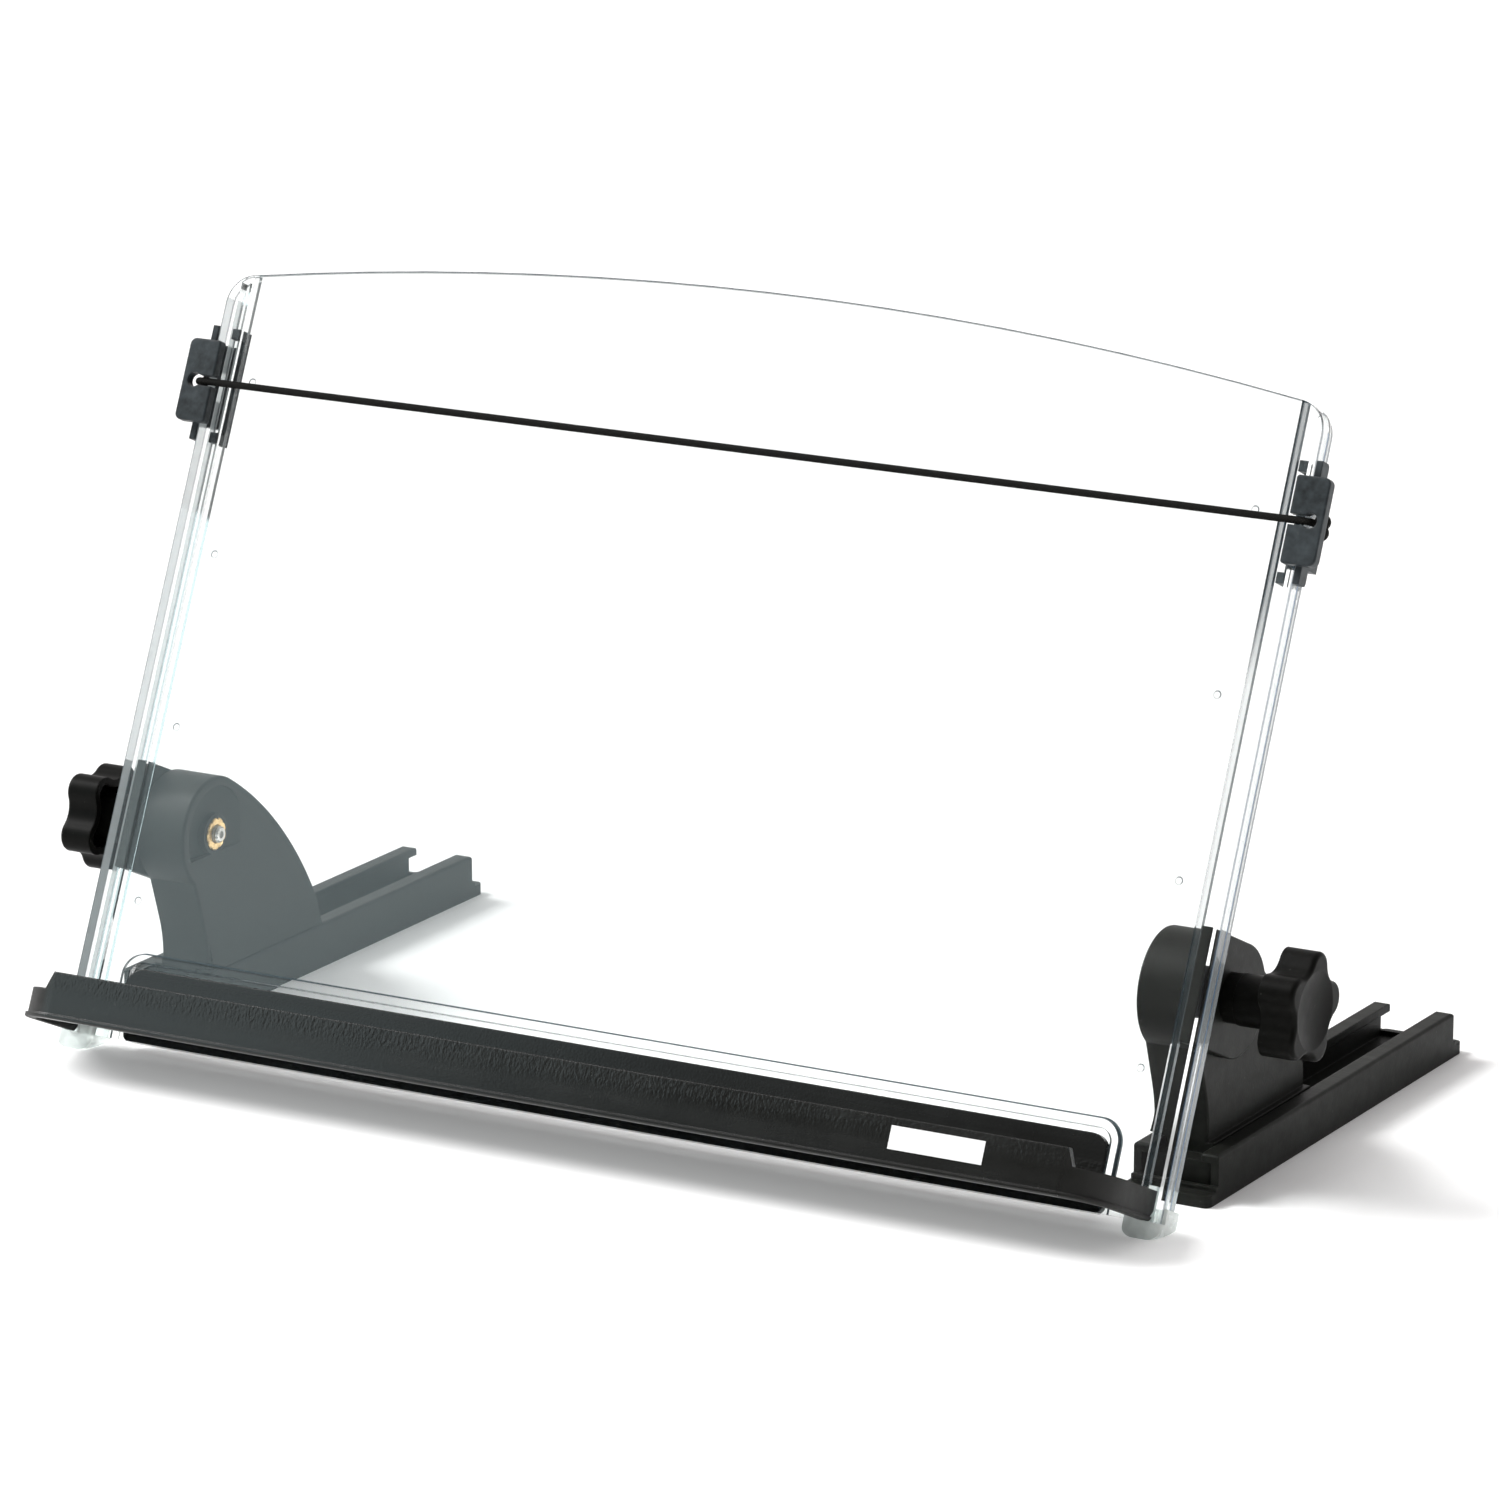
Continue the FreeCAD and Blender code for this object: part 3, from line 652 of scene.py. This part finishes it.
def makeBoltEnds(centre, face, radius, tip, slot, slotDepth):
    for side, sign in (("left", -1), ("right", 1)):
        stations = [
            (sign * (face + 0.0002), lambda turn: radius * 0.96),
            (sign * (face - tip * 0.5), lambda turn: radius * 0.94),
            (sign * (face - tip), lambda turn: radius * 0.80),
            (sign * (face - tip), lambda turn: radius * 0.42),
            (sign * (face - tip + slotDepth * 0.8), lambda turn: radius * 0.34),
            (sign * (face - tip + slotDepth * 0.9), lambda turn: radius * 0.02),
            (sign * (face + 0.0002), lambda turn: radius * 0.02),
        ]
        mesh = ringMesh(side + "BoltEnd", stations, centre, 72)
        mesh.set_sharp_from_angle(angle=math.radians(35))
        piece = addPiece(side + "BoltEnd", mesh, "steel", side + "_knob")


makeInserts(**insertValues)
makeBoltEnds(insertValues["centre"], **boltEndValues)
print("inserts and bolt ends made")


# Stage and light

floorValues = {
    "floor": (0.93, 0.93, 0.925, 1),
    "reach": 14.0,
    "low": -0.0001,
    "cloudScale": 3.0,
    "glow": 0.40,
    "dim": (0.15, 0.15, 0.15, 1),
    "litFront": (-0.04, -0.12),  # where the floor glows fully, along y
    "litRight": (0.19, 0.26),    # and along x
}
sunValues = {"sunAngle": 0.50, "sunPower": 3.2, "sunFrom": (-0.74, -0.18, 0.65)}
panelValues = {
    "place": (-0.80, -0.78, 0.37),
    "towards": (-0.10, -0.08, 0.04),
    "size": 0.52,
    "power": 1.15,
    "colour": (0.78, 0.96, 1.0),
}
skyValues = {
    "colour": (1.0, 0.975, 0.975, 1),
    "left": 1.10,
    "right": 0.56,
    "front": 0.16,
    "leftRight": (-0.9, 0.7),
    "frontBack": (-0.25, 0.45),
    "overhead": (0.62, 0.85),
}


def makeFloor(floor, reach, low, cloudScale, glow, dim, litFront, litRight):
    mesh = bpy.data.meshes.new("floor")
    corners = [(-reach, -reach, low), (reach, -reach, low), (reach, reach, low), (-reach, reach, low)]
    mesh.from_pydata(corners, [], [(0, 1, 2, 3)])
    ground = bpy.data.objects.new("floor", mesh)
    view.collection.objects.link(ground)
    shade = newShade("paleFloor")
    place = shade.place()
    cloud = shade.noise(place, cloudScale, 2.0)
    x, y = shade.parts(place)[:2]
    lit = shade.between(y, *litFront).atLeast(shade.between(x, *litRight))
    shade.finish({
        "Base Color": shade.mixColour(cloud, floor, (floor[0] * 0.99, floor[1] * 0.99, floor[2] * 0.995, 1)),
        "Roughness": 0.8,
        "Specular IOR Level": 0.1,
        "Emission Color": shade.mixColour(lit, dim, floor),
        "Emission Strength": glow,
    })
    mesh.materials.append(shade.owner)


def makeLamp(name, kind, towards, place=(0.0, 0.0, 0.0)):
    light = bpy.data.lights.new(name, kind)
    lamp = bpy.data.objects.new(name, light)
    view.collection.objects.link(lamp)
    lamp.location = place
    lamp.rotation_mode = "QUATERNION"
    lamp.rotation_quaternion = Vector(towards).to_track_quat("-Z", "Y")
    return light


def makeSun(sunAngle, sunPower, sunFrom):
    sun = makeLamp("softSun", "SUN", [-part for part in sunFrom])
    sun.angle = sunAngle
    sun.energy = sunPower


def makePanel(place, towards, size, power, colour):
    panel = makeLamp("panel", "AREA", Vector(towards) - Vector(place), place)
    panel.shape = "SQUARE"
    panel.size = size
    panel.energy = power
    panel.color = colour


def makeSky(colour, left, right, front, leftRight, frontBack, overhead):
    world = bpy.data.worlds.new("studio")
    view.world = world
    sky = Shade(world)
    x, y, z = sky.parts(sky.node("ShaderNodeTexCoord", out="Generated"))
    back = sky.between(y, *frontBack, front, 1.0)
    room = sky.between(x, *leftRight, left, right) * (back + (1.0 - back) * sky.between(z, *overhead))
    around = sky.node("ShaderNodeBackground", {}, {"Color": colour, "Strength": room})
    sky.node("ShaderNodeOutputWorld", {}, {"Surface": around})


makeFloor(**floorValues)
makeSun(**sunValues)
makePanel(**panelValues)
makeSky(**skyValues)
view.view_settings.view_transform = "Standard"
print("stage made")
